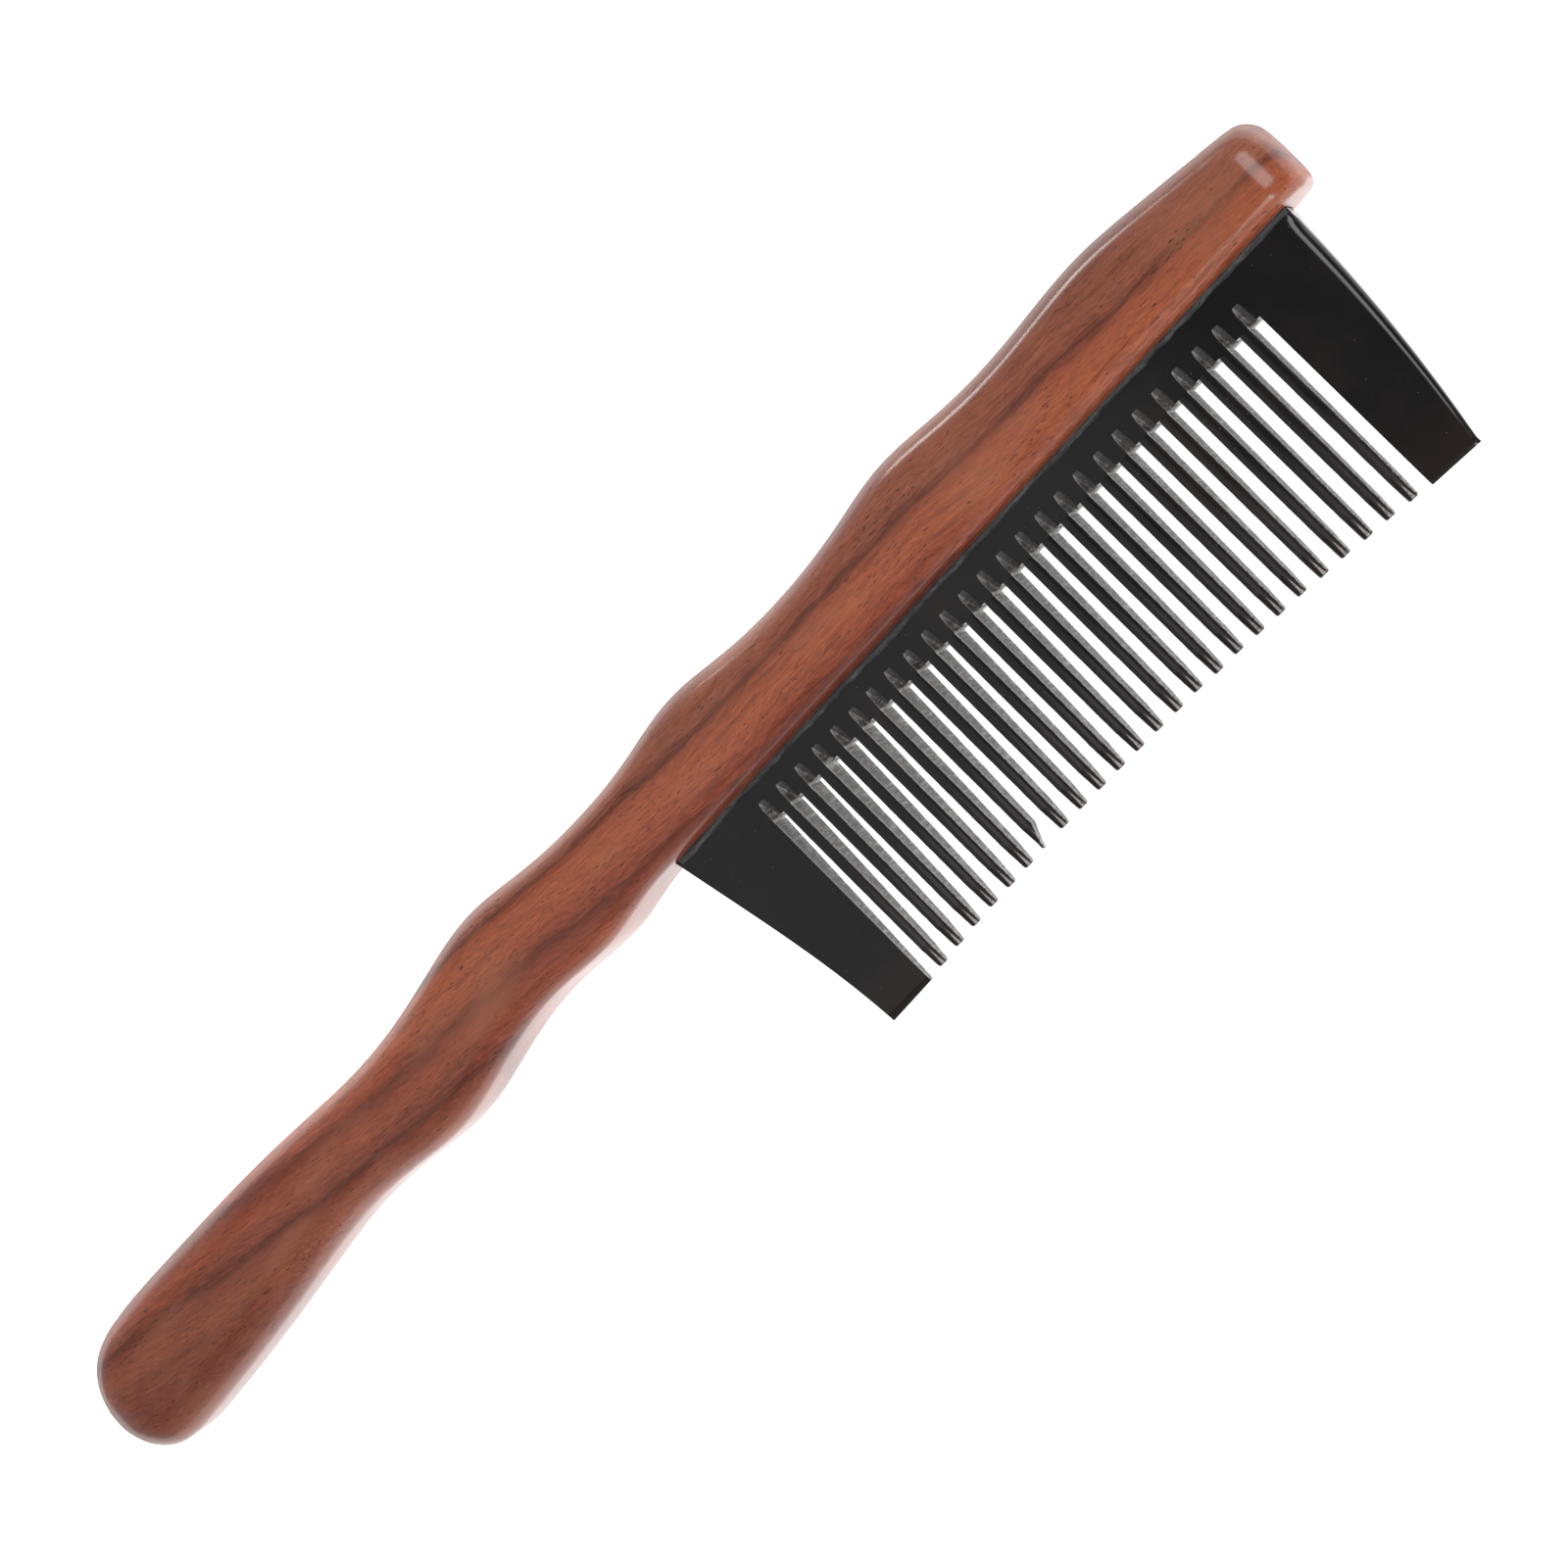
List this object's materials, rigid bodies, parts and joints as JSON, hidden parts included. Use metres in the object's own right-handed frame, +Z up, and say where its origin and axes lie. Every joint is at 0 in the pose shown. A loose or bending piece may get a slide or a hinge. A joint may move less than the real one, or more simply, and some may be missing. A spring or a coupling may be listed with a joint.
{
  "type": "handled hair comb",
  "caption": "Long-handled hair comb: a carved wooden handle with a wavy spine holds a black horn slab of tapered teeth between two wide guard teeth.",
  "frame": {"origin": "centre of the comb's bounding box in x and y, on the plane that the comb lies on", "axes": "+X along the comb from the butt of the handle to the head, +Y from the tooth tips to the spine, +Z up through the thickness; the face with the saw run-outs is up"},
  "size_m": [0.2074, 0.043, 0.013],
  "materials": {
    "lacquered_wood": "reddish-brown hardwood with dark pore dashes and streaks along the length, satin to semi-gloss lacquer",
    "polished_horn": "near-black water-buffalo horn, polished faces, matte grey sawn slot walls, faintly translucent brown at thin edges",
    "cured_glue": "cured grey adhesive, uneven semi-gloss bead"
  },
  "bodies": {
    "root": {"wood_handle": "lacquered_wood", "horn_comb_slab": "polished_horn", "glue_bond": "cured_glue"}
  },
  "joints": []
}
